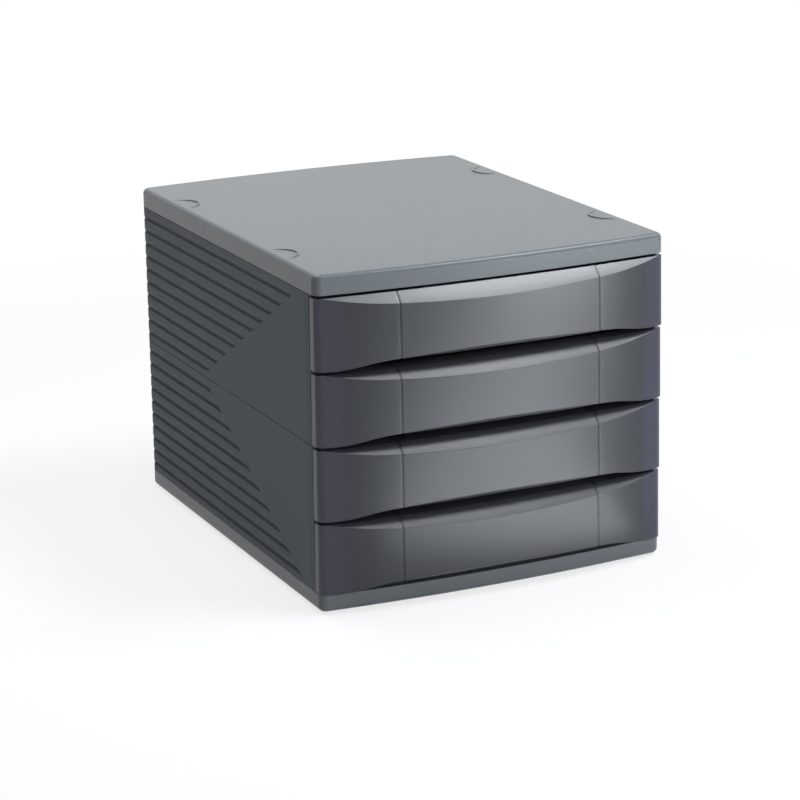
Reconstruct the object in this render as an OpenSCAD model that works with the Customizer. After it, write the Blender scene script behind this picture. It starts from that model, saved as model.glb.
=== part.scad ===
/* [Case] */
// Width over the side walls
case_w = 280; // [272:1:290]
// Depth from the front corners to the rear corners
case_d = 340; // [330:1:350]
// How far the middle of the front edge stands ahead of the front corners
front_bow = 7; // [6:0.5:8]
// How far the middle of the rear edge stands behind the rear corners
rear_bow = 8; // [7:0.5:9]
// Radius of the upright corners of the case
corner_r = 6.5; // [6:0.25:7.5]
// Height of one drawer bay, from one floor to the next
bay_h = 55.05; // [54.5:0.05:58]
// Step that draws the shadow line where two case pieces meet
seam = 0.5; // [0.3:0.1:0.7]

/* [Top cover] */
// Height of the cover with its skirt
cover_h = 14.5; // [14:0.5:17]
// Thickness of the cover's and the base's plate
plate_t = 3; // [2.6:0.1:3.4]
// Thickness of the skirt round the cover and the base
skirt_t = 2.4; // [2:0.1:2.8]
// Radius of the soft outer edge of the cover and the base
edge_r = 4; // [3.5:0.25:4.5]
// Outer radius of the raised rims that take the feet of a unit above
rim_r = 16; // [15.5:0.5:18]
// Distance from the side of the case to the centre of a rim
rim_inset = 4; // [3:0.5:5]
// Distance from the middle of the case to the centre of a rim
rim_y = 96; // [80:1:110]
// Thickness of a rim
rim_t = 1.4; // [1.1:0.1:1.5]
// Height of a rim at its inner tip
rim_h = 0.8; // [0.5:0.1:1]
// Thickness of the stiffening ribs
rib_t = 1.8; // [1.4:0.1:2.2]
// Height of the stiffening ribs under the cover
rib_h = 7; // [5:0.5:9]
// Thickness of a snap hook of the cover
hook_t = 1.8; // [1.5:0.1:2.1]
// Length of a snap hook along the wall
hook_l = 12; // [10:1:14]
// How far a snap hook reaches under its flange
hook_catch = 1.2; // [0.9:0.1:1.5]

/* [Base] */
// Height of the base with its feet
base_h = 14.5; // [14:0.5:17]
// How far the feet stand out under the base
foot_proud = 1.5; // [1.2:0.1:2]
// Depth of the pocket that holds a foot
foot_pocket = 1.2; // [1:0.1:1.5]
// Radius of a foot
foot_r = 13.75; // [12:0.25:13.8]
// How far the base's front land reaches under the lower housing
land_lap = 12; // [8:1:20]

/* [Housings] */
// Thickness of the side walls
wall_t = 3; // [2.8:0.1:3.2]
// Thickness of the housing floors and the shelves
floor_t = 2; // [1.8:0.1:2.2]
// Thickness of the back panels
back_t = 2; // [1.6:0.1:2.4]
// How far the side walls' front edges lie behind the front corners
wall_set = 10.4; // [9:0.2:12]
// Radius of the side walls' front edges
wall_edge_r = 1; // [0.8:0.1:1.4]
// Distance from one ridge of the side walls to the next
ridge_pitch = 10.5; // [9.5:0.5:12]
// Depth of the grooves between the ridges
ridge_depth = 1.8; // [1:0.1:1.9]
// Height of a groove
ridge_groove_h = 6.1; // [5:0.1:7]
// Height of the short ledge at the foot of a groove
ridge_ledge_h = 0.9; // [0.6:0.1:1.4]
// Distance from the top of a housing to the foot of its first groove
ridge_top = 11; // [9:0.1:13]
// Angle of the slanted ends of the grooves above the level
slant = 30; // [28:1:34]
// How far behind the middle the slanted ends meet
slant_apex_y = 52; // [40:1:60]
// Distance from a wall's front edge to the fine line on its side
strip_w = 4.4; // [3.5:0.1:5.5]
// Width and depth of the fine line
strip_line = 0.5; // [0.3:0.1:0.7]
// Radius at which the fine line turns into the middle seam
strip_turn_r = 5; // [4:0.5:7]
// Width of the flanges along the tops of the side walls
flange_w = 10; // [9.5:0.5:11]
// Thickness of these flanges and of the shelf ledges
flange_t = 2; // [1.8:0.1:2.4]
// Width of the ledges that carry a shelf
ledge_w = 3.5; // [3:0.5:4.5]
// Width of the wall left at each side of a back opening
back_return = 14; // [12:1:16]
// How far a back panel reaches behind this wall
back_lap = 5; // [4:0.5:6]
// Thickness of the upright ribs that trap a back panel
trap_t = 2; // [1.6:0.1:2.4]

/* [Drawer fronts] */
// How far the top of a front lies below the floor above it
front_drop = 1.8; // [1.6:0.1:2.4]
// How far the foot of a front lies above the underside of its floor
front_rise = 0.5; // [0.4:0.1:0.8]
// How far the middle of a front stands ahead of the cover's front edge
front_bulge = 10; // [9:0.5:11]
// Radius of the middle stretch of a front, in plan
front_mid_r = 740; // [680:10:800]
// Where the middle stretch ends, as a share of half the width
front_mid_share = 0.6; // [0.55:0.01:0.65]
// How far the ends of a front lie behind the front corners
front_end_set = 0.9; // [0.5:0.1:1.5]
// Radius of the upright corners of a front
front_corner_r = 6; // [5:0.5:7]
// Wall thickness of a front
front_t = 2.2; // [1.9:0.1:2.5]
// Lean of a front, its foot standing ahead of its top, in degrees
front_lean = 1.5; // [1:0.1:2]
// Radius of the slightly rounded upper facet, in section
facet_r = 120; // [80:5:200]
// Slope of the upper facet at its top edge, in degrees
facet_slope = 46; // [42:1:50]
// Radius of the top corners of a front, seen from ahead
front_top_r = 1.5; // [1:0.5:3]
// How much narrower a front is at its top, on each side
front_draft = 0.4; // [0.2:0.1:0.6]
// Height of the finger arch in the foot of a front
arch_h = 5.4; // [4.6:0.2:6]
// Half the width of the level part of the arch
arch_flat = 82; // [76:1:86]
// Distance from the side of a front to the end of its arch
arch_inset = 8; // [6:1:12]
// Height of the bevel over the arch at the middle
bevel_h = 3; // [2:0.2:4]
// Depth of the bevel over the arch at the middle
bevel_d = 2.4; // [1.6:0.2:2.8]
// Distance from the middle to each of the two inner ribs
web_x = 80; // [70:1:88]
// Thickness of the inner ribs
web_t = 2; // [1.6:0.1:2.4]
// Distance from the end of a front's foot up to the inner ribs
web_lift = 8.5; // [8:0.5:11]
// Height of the tongues that hold a front to its tray
tongue_h = 20; // [16:1:24]
// How far a tongue reaches behind the tray's front wall
tongue_l = 3.5; // [3:0.5:5]
// How far the barb of a tongue stands out
barb = 0.8; // [0.6:0.1:1]

/* [Drawer trays] */
// Thickness of a tray's walls and floor
tray_t = 1.8; // [1.5:0.1:2.1]
// Thickness of a tray's front wall
tray_front_t = 2; // [1.7:0.1:2.3]
// Gap at each side between a tray's rim and the side wall
tray_side_gap = 1.1; // [0.8:0.1:1.4]
// Gap between a tray's rim and the floor above it
tray_head = 6.2; // [5.4:0.1:8]
// Gap between the back of a tray and the ribs of the back panel
tray_rear_gap = 3; // [2:0.5:6]
// Radius of a tray's rear corners
tray_corner_r = 8; // [6:1:10]
// Width of the rim that stands out round a tray
tray_rim_w = 1.4; // [1.1:0.1:1.7]
// Thickness of this rim
tray_rim_t = 2; // [1.6:0.1:2.6]
// Height of the two skids that a tray slides on
skid_h = 3; // [2.8:0.1:3.4]
// Width of a skid
skid_w = 8; // [6:1:9]
// Distance from the inside of a side wall to the middle of a skid
skid_inset = 29; // [28:1:33]
// How much of a tray stays between the side walls at its stop
tray_hold = 50; // [40:1:80]
// Height of the stop bar on the floor in front
stop_h = 2; // [1.8:0.1:2.2]
// Thickness of the stop bars
stop_t = 2.5; // [2:0.1:3]
// Distance from a skid to the end of a stop bar
stop_clear = 9; // [7:1:24]

/* [Fasteners] */
// Radius of the base screws
screw_r = 1.5; // [1.3:0.1:1.7]
// Radius of the base screws' heads
head_r = 3.2; // [2.8:0.1:3.6]
// Height of the screw heads
head_h = 1.6; // [1.4:0.1:1.8]
// Distance from the side of the case to each screw of the base
screw_inset = 21; // [19:0.5:23]
// Radius of the screws between the housings
small_screw_r = 1.2; // [1:0.1:1.4]
// Radius of their heads
small_head_r = 2.6; // [2.4:0.1:2.8]
// Distance from the front corners to the front screws
screw_front = 45; // [40:1:60]
// Distance from the rear corners to the rear screws
screw_rear = 30; // [25:1:45]

/* [Hidden] */
// Clearance between pieces that are fitted together
fit = 0.3;
// Running clearance under the skids
run_gap = 0.3;
// Clearance of a screw in its hole
screw_fit = 0.02;
// Wall left round a screw hole
boss_wall = 2;
// Overrun of every cut past the face it opens
over = 1;
// Step by which the soft edges and corners cross the faces they meet
edge_cross = 0.03;
// Gap between a front's ends and the walls behind them
return_gap = 0.8;
// How far a tray's front wall stands ahead of the side walls
tray_lead = 3;
// Height of the bosses that take the base screws
boss_h = 1.2;
// Length of the bosses under the flanges
flange_boss_h = 3.2;
// Clearance that a stop keeps at the end of the travel
stop_gap = 0.4;
// Setback of the shelves, floors and stop bars behind the walls' front edges
floor_set = 1;
stop_set = 3;
// Margin of the swept sectors, in degrees
sweep_margin = 1;
// Facets of small and of very large arcs
$fn = 48;
wide_fn = 720;
arch_steps = 12;
bays_each = 2;

case_grey = "#4b5052";
cover_grey = "#54595b";
tray_grey = "#3f4346";
smoke_grey = "#666d78";
rubber_grey = "#2a2c2d";
screw_grey = "#8a8d8f";

half_w = case_w / 2;
depth = case_d + front_bow + front_bulge + rear_bow;
rear_corner_y = depth / 2 - rear_bow;
front_corner_y = rear_corner_y - case_d;
mid_y = (front_corner_y + rear_corner_y) / 2;

front_bow_r = (half_w * half_w + front_bow * front_bow) / (2 * front_bow);
rear_bow_r = (half_w * half_w + rear_bow * rear_bow) / (2 * rear_bow);
front_bow_cy = front_corner_y - front_bow + front_bow_r;
rear_bow_cy = rear_corner_y + rear_bow - rear_bow_r;

corner_cx = half_w - corner_r;
front_corner_cy = front_bow_cy - leg(front_bow_r - corner_r, corner_cx);
rear_corner_cy = rear_bow_cy + leg(rear_bow_r - corner_r, corner_cx);

housing_h = bays_each * bay_h;
lower_z = base_h;
upper_z = lower_z + housing_h;
cover_z = upper_z + housing_h;
cover_top_z = cover_z + cover_h;

wall_front_y = front_corner_y + wall_set;
wall_in_x = half_w - wall_t;
back_out_r = rear_bow_r - wall_t;
back_in_r = back_out_r - back_t;
back_half = half_w - back_return + back_lap;
trap_y = rear_bow_cy + leg(back_in_r, back_half) - fit - trap_t;

front_h = bay_h - front_drop - front_rise;
front_back_y = wall_front_y - return_gap;
lean_pivot_y = front_corner_y - front_bow;
lean_reach = (front_h - arch_h - bevel_h) * sin(front_lean);
mid_apex_y = lean_pivot_y - front_bulge + lean_reach;
mid_cy = mid_apex_y + front_mid_r;
join_x = front_mid_share * half_w;
join_angle = asin(join_x / front_mid_r);
join_y = mid_cy - front_mid_r * cos(join_angle);
end_dx = half_w - join_x;
end_dy = front_corner_y + front_end_set - join_y;
end_r = (end_dx * end_dx + end_dy * end_dy) / (2 * (end_dy * cos(join_angle) - end_dx * sin(join_angle)));
end_cx = join_x - end_r * sin(join_angle);
end_cy = join_y + end_r * cos(join_angle);
front_corner_cx = half_w - front_corner_r;
front_round_cy = end_cy - leg(end_r - front_corner_r, front_corner_cx - end_cx);
facet_cx = front_bow_r - facet_r * sin(facet_slope);
facet_cz = -facet_r * cos(facet_slope);
bevel_foot_r = front_bow_r + front_bulge - bevel_d;
arch_run = half_w - arch_inset - arch_flat;

tray_front_y = wall_front_y - tray_lead;
tray_rear_y = trap_y - tray_rear_gap;
tray_half = wall_in_x - tray_side_gap - tray_rim_w;
tray_h = bay_h - floor_t - run_gap - tray_head;
travel = tray_rear_y - wall_front_y - tray_hold;
skid_x = wall_in_x - skid_inset;
stop_half = skid_x - skid_w / 2 - stop_clear;
screw_x = half_w - screw_inset;
top_wall_sink = (front_back_y - lean_pivot_y) * sin(front_lean);
tray_front_top = bay_h - front_drop - floor_t - front_t - top_wall_sink - fit;
stop_y = wall_front_y + stop_set + stop_t + travel + stop_gap;
tongue_z = bay_h / 2;

// Shorter side of a right triangle from its longest side and the other one
function leg(long, other) = sqrt(long * long - other * other);

// Level of the underside of bay n, counted from the top drawer down
function bay_z(n) = cover_z - n * bay_h;

// Waste outside the round corner at a point of the plan, between the side and a bow
module corner_wedge(cx, cy, bow_cx, bow_cy, r) {
    away = [cx - bow_cx, cy - bow_cy] / norm([cx - bow_cx, cy - bow_cy]);
    far = 2 * r;
    polygon([
        [cx, cy],
        [cx + far, cy],
        [cx + far, cy + sign(away.y) * far],
        [cx + away.x * far, cy + away.y * far]
    ]);
}

// Plan of the case, drawn in by an inset
module case_plan(inset = 0) {
    difference() {
        intersection() {
            translate([0, front_bow_cy]) circle(r = front_bow_r - inset, $fn = wide_fn);
            translate([0, rear_bow_cy]) circle(r = rear_bow_r - inset, $fn = wide_fn);
            square([case_w - 2 * inset, 2 * depth], center = true);
        }
        for (side = [0, 1]) mirror([side, 0]) {
            difference() {
                corner_wedge(corner_cx, front_corner_cy, 0, front_bow_cy, corner_r);
                translate([corner_cx, front_corner_cy]) circle(r = corner_r - inset);
            }
            difference() {
                corner_wedge(corner_cx, rear_corner_cy, 0, rear_bow_cy, corner_r);
                translate([corner_cx, rear_corner_cy]) circle(r = corner_r - inset);
            }
        }
    }
}

// Section of a plate's edge, soft above and cut level at a given top
module edge_section(w, h, top) {
    intersection() {
        union() {
            square([w, h - edge_r + edge_cross]);
            square([w - edge_r + edge_cross, h + edge_r]);
            translate([w - edge_r + edge_cross, h - edge_r + edge_cross]) circle(r = edge_r);
        }
        square([w, top]);
    }
}

// Plate swept round the centre of a bow, wide enough for the whole case
module bow_sweep(bow_r, h) {
    sweep_w = 1.1 * depth;
    half_span = atan(half_w / (bow_r - sweep_w)) + sweep_margin;
    rotate([0, 0, -half_span])
        rotate_extrude(angle = 2 * half_span, $fn = wide_fn)
            translate([bow_r - sweep_w, 0]) edge_section(sweep_w, h, h);
}

// Plate with the plan of the case and soft edges all round
module soft_plate(h) {
    difference() {
        intersection() {
            translate([0, front_bow_cy, 0]) rotate([0, 0, -90]) bow_sweep(front_bow_r, h);
            translate([0, rear_bow_cy, 0]) rotate([0, 0, 90]) bow_sweep(rear_bow_r, h);
            translate([0, depth, 0]) rotate([90, 0, 0]) linear_extrude(2 * depth) {
                edge_section(half_w, h, h);
                mirror([1, 0]) edge_section(half_w, h, h);
            }
        }
        for (side = [0, 1]) mirror([side, 0, 0]) {
            soft_corner_waste(front_corner_cy, front_bow_cy, -edge_cross, h);
            soft_corner_waste(rear_corner_cy, rear_bow_cy, edge_cross, h);
        }
    }
}

// Waste outside an upright corner, whose post stands a small step proud of the faces beside it
module soft_corner_waste(cy, bow_cy, step, h) {
    translate([edge_cross, step, 0]) difference() {
        translate([0, 0, -over]) linear_extrude(h + 2 * over)
            corner_wedge(corner_cx, cy, 0, bow_cy, corner_r);
        translate([corner_cx, cy, 0]) rotate_extrude() edge_section(corner_r, h, h + over);
        translate([corner_cx, cy, -2 * over]) cylinder(r = corner_r, h = 2 * over);
    }
}

// Rounded outline of a stacking rim or a foot, on the right side
module stacking_plan(r, flat_x) {
    intersection() {
        translate([half_w - rim_inset, 0]) circle(r = r);
        translate([half_w - rim_inset - r - over, -r - over])
            square([flat_x - (half_w - rim_inset - r - over), 2 * (r + over)]);
    }
}

// Rim round the place of a foot, rising from the side of the cover to its inner tip
module stacking_rim() {
    flat_x = half_w - edge_r;
    zero_x = flat_x - rim_t;
    run = zero_x - (half_w - rim_inset - rim_r);
    intersection() {
        translate([0, 0, cover_top_z - plate_t / 4]) linear_extrude(plate_t / 4 + rim_h) difference() {
            stacking_plan(rim_r, flat_x);
            stacking_plan(rim_r - rim_t, flat_x + over);
        }
        translate([zero_x, 0, cover_top_z]) rotate([0, atan(rim_h / run), 0])
            translate([-2 * run, -2 * run, -plate_t]) cube([4 * run, 4 * run, plate_t]);
    }
}

// Stiffening ribs inside a skirt, crossing at the middle
module stiffening_ribs(h) {
    lengthways_shares = [-0.6, -0.2, 0.2, 0.6];
    crossways_shares = [-0.75, -0.25, 0.25, 0.75];
    intersection() {
        linear_extrude(h) case_plan(skirt_t / 2);
        union() {
            for (share = lengthways_shares)
                translate([share * half_w - rib_t / 2, -depth, 0]) cube([rib_t, 2 * depth, h]);
            for (share = crossways_shares)
                translate([-half_w, mid_y + share * case_d / 2, 0]) cube([case_w, rib_t, h]);
        }
    }
}

// Places of the cover's hooks along the side walls
hook_ys = [mid_y - case_d / 4, mid_y + case_d / 4];
hook_x = wall_in_x - flange_w + boss_wall;
slot_w = hook_t + 2 * fit;

module cover_hook() {
    root_z = cover_top_z - plate_t / 2;
    catch_z = cover_z - flange_t - fit;
    rotate([90, 0, 0]) linear_extrude(hook_l, center = true) polygon([
        [hook_x, root_z],
        [hook_x, catch_z - 2 * hook_catch],
        [hook_x + hook_t, catch_z - 2 * hook_catch],
        [hook_x + hook_t + hook_catch, catch_z - hook_catch],
        [hook_x + hook_t + hook_catch, catch_z],
        [hook_x + hook_t, catch_z],
        [hook_x + hook_t, root_z]
    ]);
}

module top_cover() {
    color(cover_grey) {
        difference() {
            translate([0, 0, cover_z]) soft_plate(cover_h);
            translate([0, 0, cover_z - over])
                linear_extrude(cover_h - plate_t + over) case_plan(skirt_t);
        }
        for (side = [0, 1], y = [mid_y - rim_y, mid_y + rim_y])
            mirror([side, 0, 0]) translate([0, y, 0]) stacking_rim();
        translate([0, 0, cover_top_z - plate_t - rib_h]) stiffening_ribs(rib_h + plate_t / 4);
        for (side = [0, 1], y = hook_ys)
            mirror([side, 0, 0]) translate([0, y, 0]) cover_hook();
    }
}

// Places of the screws along the side walls
screw_ys = [front_corner_y + screw_front, rear_corner_y - screw_rear];
small_screw_x = wall_in_x - flange_w / 2 - boss_wall / 2;
seat_z = foot_proud + plate_t + head_h;

module base_panel() {
    rib_z = foot_proud + plate_t / 2;
    color(case_grey) difference() {
        union() {
            difference() {
                translate([0, 0, base_h]) mirror([0, 0, 1]) soft_plate(base_h - foot_proud);
                translate([0, 0, foot_proud + plate_t])
                    linear_extrude(base_h) case_plan(skirt_t);
            }
            translate([0, 0, rib_z]) stiffening_ribs(base_h - rib_z);
            translate([0, 0, base_h - floor_t]) linear_extrude(floor_t) intersection() {
                case_plan(skirt_t / 2);
                translate([-half_w, wall_front_y + land_lap - depth]) square([case_w, depth]);
            }
            for (side = [-1, 1], y = screw_ys) translate([side * screw_x, y, rib_z])
                cylinder(r = head_r + boss_wall, h = base_h - rib_z);
        }
        for (side = [-1, 1], y = screw_ys) translate([side * screw_x, y, 0]) {
            cylinder(r = head_r + fit, h = seat_z);
            cylinder(r = screw_r + screw_fit, h = base_h + over);
        }
        for (side = [0, 1], y = [mid_y - rim_y, mid_y + rim_y])
            mirror([side, 0, 0]) translate([0, y, foot_proud - over])
                linear_extrude(foot_pocket + over) stacking_plan(foot_r + screw_fit, foot_flat_x + screw_fit);
    }
}

foot_flat_x = half_w - rim_inset - boss_wall;

// One foot, on the right side
module foot(y) {
    color(rubber_grey) translate([0, y, 0])
        linear_extrude(foot_proud + foot_pocket) stacking_plan(foot_r, foot_flat_x);
}

module front_left_foot() {
    mirror([1, 0, 0]) foot(mid_y - rim_y);
}

module front_right_foot() {
    foot(mid_y - rim_y);
}

module rear_left_foot() {
    mirror([1, 0, 0]) foot(mid_y + rim_y);
}

module rear_right_foot() {
    foot(mid_y + rim_y);
}

// Grooves of the left side wall of a housing, behind their slanted front ends
module side_grooves(z0, falls_to_rear) {
    top_z = z0 + housing_h;
    count = floor((housing_h - ridge_top - ridge_ledge_h) / ridge_pitch) + 1;
    slant_run = housing_h / tan(slant);
    near_y = slant_apex_y - slant_run;
    rear_y = depth / 2;
    intersection() {
        for (k = [0 : count - 1])
            translate([-half_w, rear_y, top_z - ridge_top - k * ridge_pitch])
                rotate([90, 0, 0]) linear_extrude(depth) polygon([
                    [-over, 0],
                    [0, 0],
                    [ridge_depth, ridge_ledge_h],
                    [0, ridge_groove_h],
                    [-over, ridge_groove_h]
                ]);
        translate([-half_w - over, 0, 0]) rotate([90, 0, 90])
            linear_extrude(ridge_depth + 2 * over) polygon([
                [falls_to_rear ? near_y : slant_apex_y, top_z],
                [rear_y + over, top_z],
                [rear_y + over, z0],
                [falls_to_rear ? slant_apex_y : near_y, z0]
            ]);
    }
}

// Fine line along the front of the left side wall, turning into the seam where wanted
module strip_cut(z0, turns) {
    line_y = wall_front_y + strip_w;
    line_h = turns ? housing_h - seam - strip_turn_r : housing_h;
    ring_r = strip_turn_r + strip_line;
    translate([-half_w - over, line_y, z0 - over])
        cube([over + strip_line, strip_line, line_h + over]);
    if (turns) intersection() {
        translate([-half_w - over, line_y + ring_r, z0 + line_h]) rotate([0, 90, 0]) difference() {
            cylinder(r = ring_r, h = over + strip_line);
            translate([0, 0, -over]) cylinder(r = strip_turn_r, h = strip_line + 3 * over);
        }
        translate([-half_w - over, line_y, z0 + line_h]) cube([over + strip_line, ring_r, ring_r]);
    }
}

// Rounding of the outer front edge of the left side wall
module wall_edge_cut(z0) {
    translate([-half_w, wall_front_y, z0 - over]) linear_extrude(housing_h + 2 * over) difference() {
        translate([-over, -over]) square(over + wall_edge_r);
        translate([wall_edge_r, wall_edge_r]) circle(r = wall_edge_r);
    }
}

// Walls, floor, ledges and flanges shared by both housings
module housing(z0, falls_to_rear, turns) {
    difference() {
        union() {
            difference() {
                union() {
                    translate([0, 0, z0]) linear_extrude(housing_h - seam) case_plan();
                    translate([0, 0, z0]) linear_extrude(housing_h) case_plan(seam);
                }
                translate([0, 0, z0 + floor_t]) linear_extrude(housing_h) case_plan(wall_t);
            }
            for (side = [0, 1]) mirror([side, 0, 0]) wall_fittings(z0);
            stop_bar(z0 + floor_t);
        }
        translate([-case_w, wall_front_y - depth, z0 - over])
            cube([2 * case_w, depth, housing_h + 2 * over]);
        translate([-half_w + wall_t, wall_front_y - over, z0 - over])
            cube([case_w - 2 * wall_t, over + floor_set, housing_h + 2 * over]);
        translate([-half_w + back_return, mid_y, z0 + floor_t])
            cube([case_w - 2 * back_return, depth, housing_h]);
        for (side = [0, 1]) mirror([side, 0, 0]) {
            side_grooves(z0, falls_to_rear);
            strip_cut(z0, turns);
            wall_edge_cut(z0);
        }
    }
}

// Flange, shelf ledge and trap rib of the right side wall
module wall_fittings(z0) {
    run_y = wall_front_y + floor_set;
    run_l = trap_y + trap_t - run_y;
    translate([wall_in_x - flange_w, run_y, z0 + housing_h - flange_t])
        cube([flange_w + wall_t / 2, run_l, flange_t]);
    translate([wall_in_x - ledge_w, run_y, z0 + bay_h - flange_t])
        cube([ledge_w + wall_t / 2, run_l, flange_t]);
    translate([back_half - 2 * fit, trap_y, z0])
        cube([wall_in_x + wall_t / 2 - back_half + 2 * fit, trap_t, housing_h]);
}

// Low bar on a floor that holds the stop bar of a tray
module stop_bar(z) {
    translate([-stop_half, wall_front_y + stop_set, z - floor_t / 2])
        cube([2 * stop_half, stop_t, stop_h + floor_t / 2]);
}

module upper_housing() {
    color(case_grey) difference() {
        housing(upper_z, true, false);
        for (side = [-1, 1], y = screw_ys) translate([side * small_screw_x, y, upper_z - over])
            cylinder(r = small_screw_r + screw_fit, h = floor_t + 2 * over);
        for (side = [0, 1], y = hook_ys) mirror([side, 0, 0])
            translate([hook_x - fit, y - hook_l / 2 - fit, cover_z - flange_t - over])
                cube([slot_w, hook_l + 2 * fit, flange_t + 2 * over]);
    }
}

module lower_housing() {
    color(case_grey) difference() {
        union() {
            housing(lower_z, false, true);
            for (side = [-1, 1], y = screw_ys) {
                translate([side * screw_x, y, lower_z + floor_t / 2])
                    cylinder(r = screw_r + boss_wall, h = floor_t / 2 + boss_h);
                translate([side * small_screw_x, y, upper_z - flange_t - flange_boss_h])
                    cylinder(r = small_screw_r + boss_wall, h = flange_boss_h + flange_t / 2);
            }
        }
        for (side = [-1, 1], y = screw_ys) {
            translate([side * screw_x, y, lower_z - over])
                cylinder(r = screw_r + screw_fit, h = floor_t + boss_h + 2 * over);
            translate([side * small_screw_x, y, upper_z - flange_t - flange_boss_h - over])
                cylinder(r = small_screw_r + screw_fit, h = flange_t + flange_boss_h + 2 * over);
        }
    }
}

// Plate between the two bays of a housing
module shelf(z0) {
    front_y = wall_front_y + floor_set;
    color(case_grey) {
        translate([-wall_in_x + fit, front_y, z0 + bay_h])
            cube([2 * (wall_in_x - fit), trap_y - fit - front_y, floor_t]);
        stop_bar(z0 + bay_h + floor_t);
    }
}

module upper_shelf() {
    shelf(upper_z);
}

module lower_shelf() {
    shelf(lower_z);
}

// Bowed panel behind the back opening of a housing
module back_panel(z0) {
    color(case_grey) translate([0, 0, z0 + floor_t]) linear_extrude(housing_h - floor_t) intersection() {
        difference() {
            translate([0, rear_bow_cy]) circle(r = back_out_r, $fn = wide_fn);
            translate([0, rear_bow_cy]) circle(r = back_in_r, $fn = wide_fn);
        }
        translate([-back_half, mid_y]) square([2 * back_half, depth]);
    }
}

module upper_back_panel() {
    back_panel(upper_z);
}

module lower_back_panel() {
    back_panel(lower_z);
}

// Round-headed screw that stands on its head's seat and points up
module screw(r, head, length) {
    translate([0, 0, -head_h]) cylinder(r = head, h = head_h);
    cylinder(r = r, h = length);
}

module base_screws() {
    color(screw_grey) for (side = [-1, 1], y = screw_ys)
        translate([side * screw_x, y, seat_z])
            screw(screw_r, head_r, base_h + floor_t + boss_h - seat_z);
}

module housing_screws() {
    color(screw_grey) for (side = [-1, 1], y = screw_ys)
        translate([side * small_screw_x, y, upper_z + floor_t]) mirror([0, 0, 1])
            screw(small_screw_r, small_head_r, floor_t + flange_t + flange_boss_h - fit);
}

// Plan of a drawer front, drawn in by an inset and open behind to a given line
module front_plan(inset, back_y) {
    far_y = mid_apex_y - front_bulge;
    near_x = (mid_cy - back_y) * tan(join_angle);
    far_x = (mid_cy - far_y) * tan(join_angle);
    side_x = half_w - inset;
    difference() {
        union() {
            intersection() {
                translate([0, mid_cy]) circle(r = front_mid_r - inset, $fn = wide_fn);
                polygon([[-near_x, back_y], [near_x, back_y], [far_x, far_y], [-far_x, far_y]]);
            }
            for (side = [0, 1]) mirror([side, 0]) intersection() {
                translate([end_cx, end_cy]) circle(r = end_r - inset, $fn = wide_fn);
                translate([join_x / 2, far_y]) square([side_x - join_x / 2, back_y - far_y]);
            }
        }
        for (side = [0, 1]) mirror([side, 0]) difference() {
            corner_wedge(front_corner_cx, front_round_cy, end_cx, end_cy, front_corner_r);
            translate([front_corner_cx, front_round_cy]) circle(r = front_corner_r - inset);
        }
    }
}

// Body swept round the centre of the cover's bow, its top falling forward as the upper facet
module facet_body(inset, h) {
    reach = 2 * front_bulge;
    back = 4 * front_bulge;
    half_span = atan(half_w / (front_bow_r - back)) + sweep_margin;
    translate([0, front_bow_cy, 0]) rotate([0, 0, -90 - half_span])
        rotate_extrude(angle = 2 * half_span, $fn = wide_fn) intersection() {
            translate([facet_cx, facet_cz]) circle(r = facet_r - inset, $fn = wide_fn);
            translate([front_bow_r - back, -h]) square([back + reach, h - inset]);
        }
}

// Front without its hollow, top edge at level 0, drawn in by an inset
module front_form(inset, back_y, h) {
    intersection() {
        translate([0, 0, -h]) linear_extrude(h) front_plan(inset, back_y);
        facet_body(inset, h + over);
    }
}

// Turn about the top edge that sets the foot of a front ahead of its top
module leaned() {
    translate([0, lean_pivot_y, 0]) rotate([-front_lean, 0, 0]) translate([0, -lean_pivot_y, 0])
        children();
}

// Height of the arch in the foot of a front at a distance from the middle
function arch_at(x) = arch_h * (1 + cos(180 * max(0, min(1, (x - arch_flat) / arch_run)))) / 2;

// Outline of a front seen from ahead, with its finger arch
module front_outline() {
    top_half = half_w - front_draft;
    arch_right = [for (k = [0 : arch_steps]) let (x = arch_flat + arch_run * k / arch_steps)
        [x, arch_at(x) - front_h]];
    arch_left = [for (k = [arch_steps : -1 : 0]) [-arch_right[k].x, arch_right[k].y]];
    difference() {
        polygon(concat(
            [[-half_w, -front_h]], arch_left, arch_right,
            [[half_w, -front_h], [top_half, front_t], [-top_half, front_t]]
        ));
        for (side = [0, 1]) mirror([side, 0]) translate([top_half - front_top_r, -front_top_r]) difference() {
            square(front_top_r + over + front_t);
            circle(r = front_top_r);
        }
    }
}

// Waste under the bevel over the arch, a cone round the centre of the cover's bow
module bevel_waste() {
    foot_z = arch_h - front_h;
    half_span = atan(arch_flat / front_bow_r) + sweep_margin;
    slope_share = 4;
    translate([0, front_bow_cy, 0]) rotate([0, 0, -90 - half_span])
        rotate_extrude(angle = 2 * half_span, $fn = wide_fn) polygon([
            [bevel_foot_r - bevel_d / 2, foot_z - bevel_h / 2],
            [bevel_foot_r, foot_z],
            [bevel_foot_r + slope_share * bevel_d, foot_z + slope_share * bevel_h],
            [bevel_foot_r + slope_share * bevel_d, foot_z - bevel_h / 2]
        ]);
}

// Inner rib with the tongue and barb that hold the front to its tray, on the right side
module front_web() {
    foot_z = web_lift - front_h;
    intersection() {
        leaned() front_form(front_t / 2, front_back_y, front_h + over);
        translate([web_x - web_t / 2, -depth, foot_z])
            cube([web_t, depth + tray_front_y, front_h]);
    }
    translate([web_x - web_t / 2, tray_front_y - web_t, tongue_z - bay_h + front_drop - tongue_h / 2])
        linear_extrude(tongue_h) polygon([
            [0, 0],
            [web_t, 0],
            [web_t, web_t + tray_front_t + fit / 2],
            [web_t + barb, web_t + tray_front_t + fit / 2],
            [web_t, web_t + tray_front_t + tongue_l],
            [0, web_t + tray_front_t + tongue_l]
        ]);
}

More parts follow.
